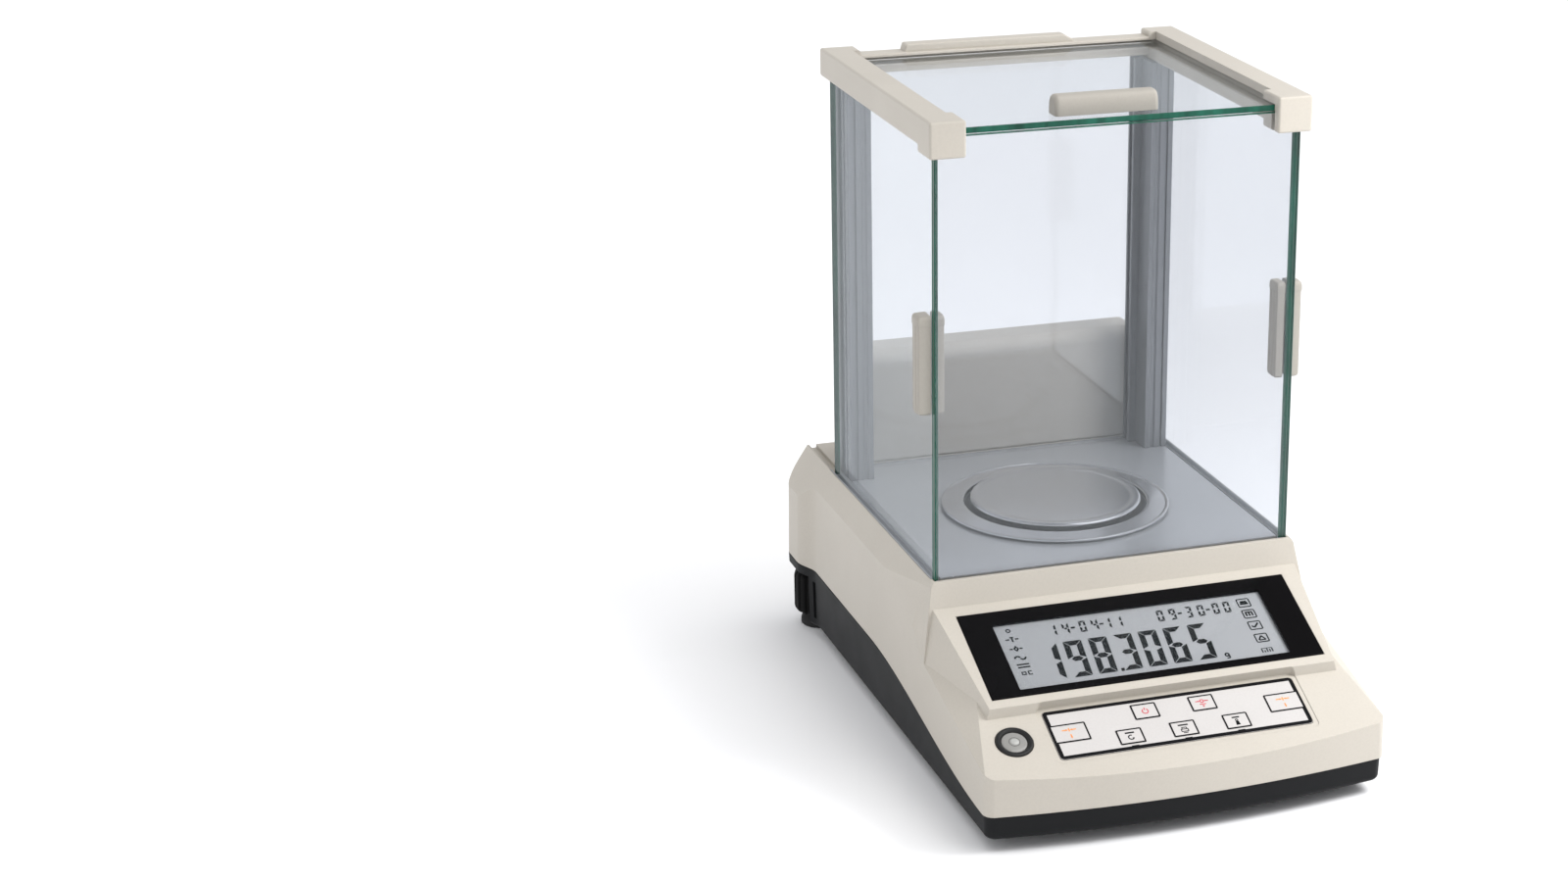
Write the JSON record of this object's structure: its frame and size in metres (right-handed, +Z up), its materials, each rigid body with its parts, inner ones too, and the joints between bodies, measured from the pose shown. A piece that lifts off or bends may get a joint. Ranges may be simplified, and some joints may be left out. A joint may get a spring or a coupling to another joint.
{
  "type": "analytical balance",
  "caption": "Laboratory analytical balance with a round weighing pan inside a glass draft shield with sliding side and top doors, over a sloped display and keypad.",
  "frame": {"origin": "on the table, under the centre of the balance's outer box", "axes": "+X to the operator's right, +Y to the back, +Z up"},
  "size_m": [0.22, 0.3313, 0.3371],
  "materials": {
    "cream": "satin moulded, fine grain",
    "charcoal": "satin moulded, fine grain",
    "gloss_black": "gloss",
    "trim_black": "satin",
    "clear": "clear acrylic",
    "lcd": "pale grey LCD",
    "film": "satin printed film",
    "vial": "gloss vial",
    "glass": "clear float glass, polished edges",
    "floor_metal": "satin",
    "pan_metal": "satin",
    "aluminium": "anodised",
    "steel": "machined",
    "cast_metal": "cast",
    "copper": "enamelled copper wire",
    "board": "solder mask",
    "rubber": "matte"
  },
  "bodies": {
    "base": {"upper_housing": "cream", "lower_housing": "charcoal", "display_bezel": "gloss_black", "display_window": "clear", "lcd_module": "lcd", "keypad_overlay": "film", "level_ring": "trim_black", "level_vial": "vial", "front_glass": "glass", "rear_glass": "glass", "top_frame": "cream", "left_rear_post": "aluminium", "right_rear_post": "aluminium", "chamber_floor_plate": "floor_metal", "left_door_track": "aluminium", "right_door_track": "aluminium", "rear_cover": "cream", "front_left_foot": "rubber", "front_right_foot": "rubber", "power_inlet": "trim_black", "data_port": "steel", "housing_screw_1": "steel", "housing_screw_2": "steel", "housing_screw_3": "steel", "housing_screw_4": "steel", "weigh_cell_frame": "cast_metal", "magnet_pot": "steel", "main_board": "board", "display_board": "board", "keypad_board": "board", "power_module": "trim_black"},
    "left_door": {"left_door_glass": "glass", "left_outer_handle": "cream", "left_inner_handle": "cream"},
    "right_door": {"right_door_glass": "glass", "right_outer_handle": "cream", "right_inner_handle": "cream"},
    "top_door": {"top_door_glass": "glass", "top_door_handle": "cream"},
    "draft_ring": {"draft_ring": "pan_metal"},
    "pan": {"weighing_pan": "pan_metal"},
    "pan_carrier": {"pan_support": "steel"},
    "lever": {"weigh_lever": "aluminium"},
    "coil": {"force_coil": "copper"},
    "rear_left_foot": {"rear_left_foot_pad": "rubber"},
    "rear_left_knob": {"rear_left_foot_knob": "trim_black"},
    "rear_right_foot": {"rear_right_foot_pad": "rubber"},
    "rear_right_knob": {"rear_right_foot_knob": "trim_black"},
    "left_tare_key": {"left_tare_key": "film"},
    "right_tare_key": {"right_tare_key": "film"},
    "power_key": {"power_key": "film"},
    "mode_key": {"mode_key": "film"},
    "unit_key": {"unit_key": "film"},
    "print_key": {"print_key": "film"},
    "calibrate_key": {"calibrate_key": "film"}
  },
  "joints": [
    {"name": "left_door_slide", "type": "slide", "parent": "base", "child": "left_door", "axis": [0, 1, 0], "range_m": [0, 0.134]},
    {"name": "right_door_slide", "type": "slide", "parent": "base", "child": "right_door", "axis": [0, 1, 0], "range_m": [0, 0.134]},
    {"name": "top_door_slide", "type": "slide", "parent": "base", "child": "top_door", "axis": [0, 1, 0], "range_m": [0, 0.142]},
    {"name": "left_tare_key_press", "type": "slide", "parent": "base", "child": "left_tare_key", "axis": [0, 0.4067, -0.9135], "range_m": [0, 0.0004], "stiffness_N_per_m": 1500, "springref_m": -0.0002},
    {"name": "right_tare_key_press", "type": "slide", "parent": "base", "child": "right_tare_key", "axis": [0, 0.4067, -0.9135], "range_m": [0, 0.0004], "stiffness_N_per_m": 1500, "springref_m": -0.0002},
    {"name": "power_key_press", "type": "slide", "parent": "base", "child": "power_key", "axis": [0, 0.4067, -0.9135], "range_m": [0, 0.0004], "stiffness_N_per_m": 1500, "springref_m": -0.0002},
    {"name": "mode_key_press", "type": "slide", "parent": "base", "child": "mode_key", "axis": [0, 0.4067, -0.9135], "range_m": [0, 0.0004], "stiffness_N_per_m": 1500, "springref_m": -0.0002},
    {"name": "unit_key_press", "type": "slide", "parent": "base", "child": "unit_key", "axis": [0, 0.4067, -0.9135], "range_m": [0, 0.0004], "stiffness_N_per_m": 1500, "springref_m": -0.0002},
    {"name": "print_key_press", "type": "slide", "parent": "base", "child": "print_key", "axis": [0, 0.4067, -0.9135], "range_m": [0, 0.0004], "stiffness_N_per_m": 1500, "springref_m": -0.0002},
    {"name": "calibrate_key_press", "type": "slide", "parent": "base", "child": "calibrate_key", "axis": [0, 0.4067, -0.9135], "range_m": [0, 0.0004], "stiffness_N_per_m": 1500, "springref_m": -0.0002},
    {"name": "draft_ring_lift", "type": "slide", "parent": "base", "child": "draft_ring", "axis": [0, 0, 1], "range_m": [0, 0.03]},
    {"name": "pan_carrier_travel", "type": "slide", "parent": "base", "child": "pan_carrier", "axis": [0, 0, -1], "range_m": [0, 0.0006], "stiffness_N_per_m": 20000, "springref_m": -0.0001},
    {"name": "pan_lift", "type": "slide", "parent": "pan_carrier", "child": "pan", "axis": [0, 0, 1], "range_m": [0, 0.04]},
    {"name": "lever_tilt", "type": "hinge", "parent": "base", "child": "lever", "pos_m": [0, 0.058, 0.0535], "axis": [1, 0, 0], "range_deg": [0, 1.3]},
    {"name": "coil_travel", "type": "slide", "parent": "base", "child": "coil", "axis": [0, 0, 1], "range_m": [0, 0.001]},
    {"name": "rear_left_foot_height", "type": "slide", "parent": "base", "child": "rear_left_foot", "axis": [0, 0, 1], "range_m": [0, 0.003]},
    {"name": "rear_left_knob_turn", "type": "hinge", "parent": "rear_left_foot", "child": "rear_left_knob", "pos_m": [-0.0943, 0.1505, 0], "axis": [0, 0, 1], "range_deg": [0, 982.82]},
    {"name": "rear_right_foot_height", "type": "slide", "parent": "base", "child": "rear_right_foot", "axis": [0, 0, 1], "range_m": [0, 0.003]},
    {"name": "rear_right_knob_turn", "type": "hinge", "parent": "rear_right_foot", "child": "rear_right_knob", "pos_m": [0.0943, 0.1505, 0], "axis": [0, 0, 1], "range_deg": [0, 982.82]}
  ],
  "couplings": [
    {"joint": "rear_left_knob_turn", "follows": "rear_left_foot_height", "rad_per_m": 5712},
    {"joint": "rear_right_knob_turn", "follows": "rear_right_foot_height", "rad_per_m": 5712},
    {"joint": "lever_tilt", "follows": "pan_carrier_travel", "rad_per_m": 36.9},
    {"joint": "coil_travel", "follows": "pan_carrier_travel", "ratio": 1.476}
  ]
}
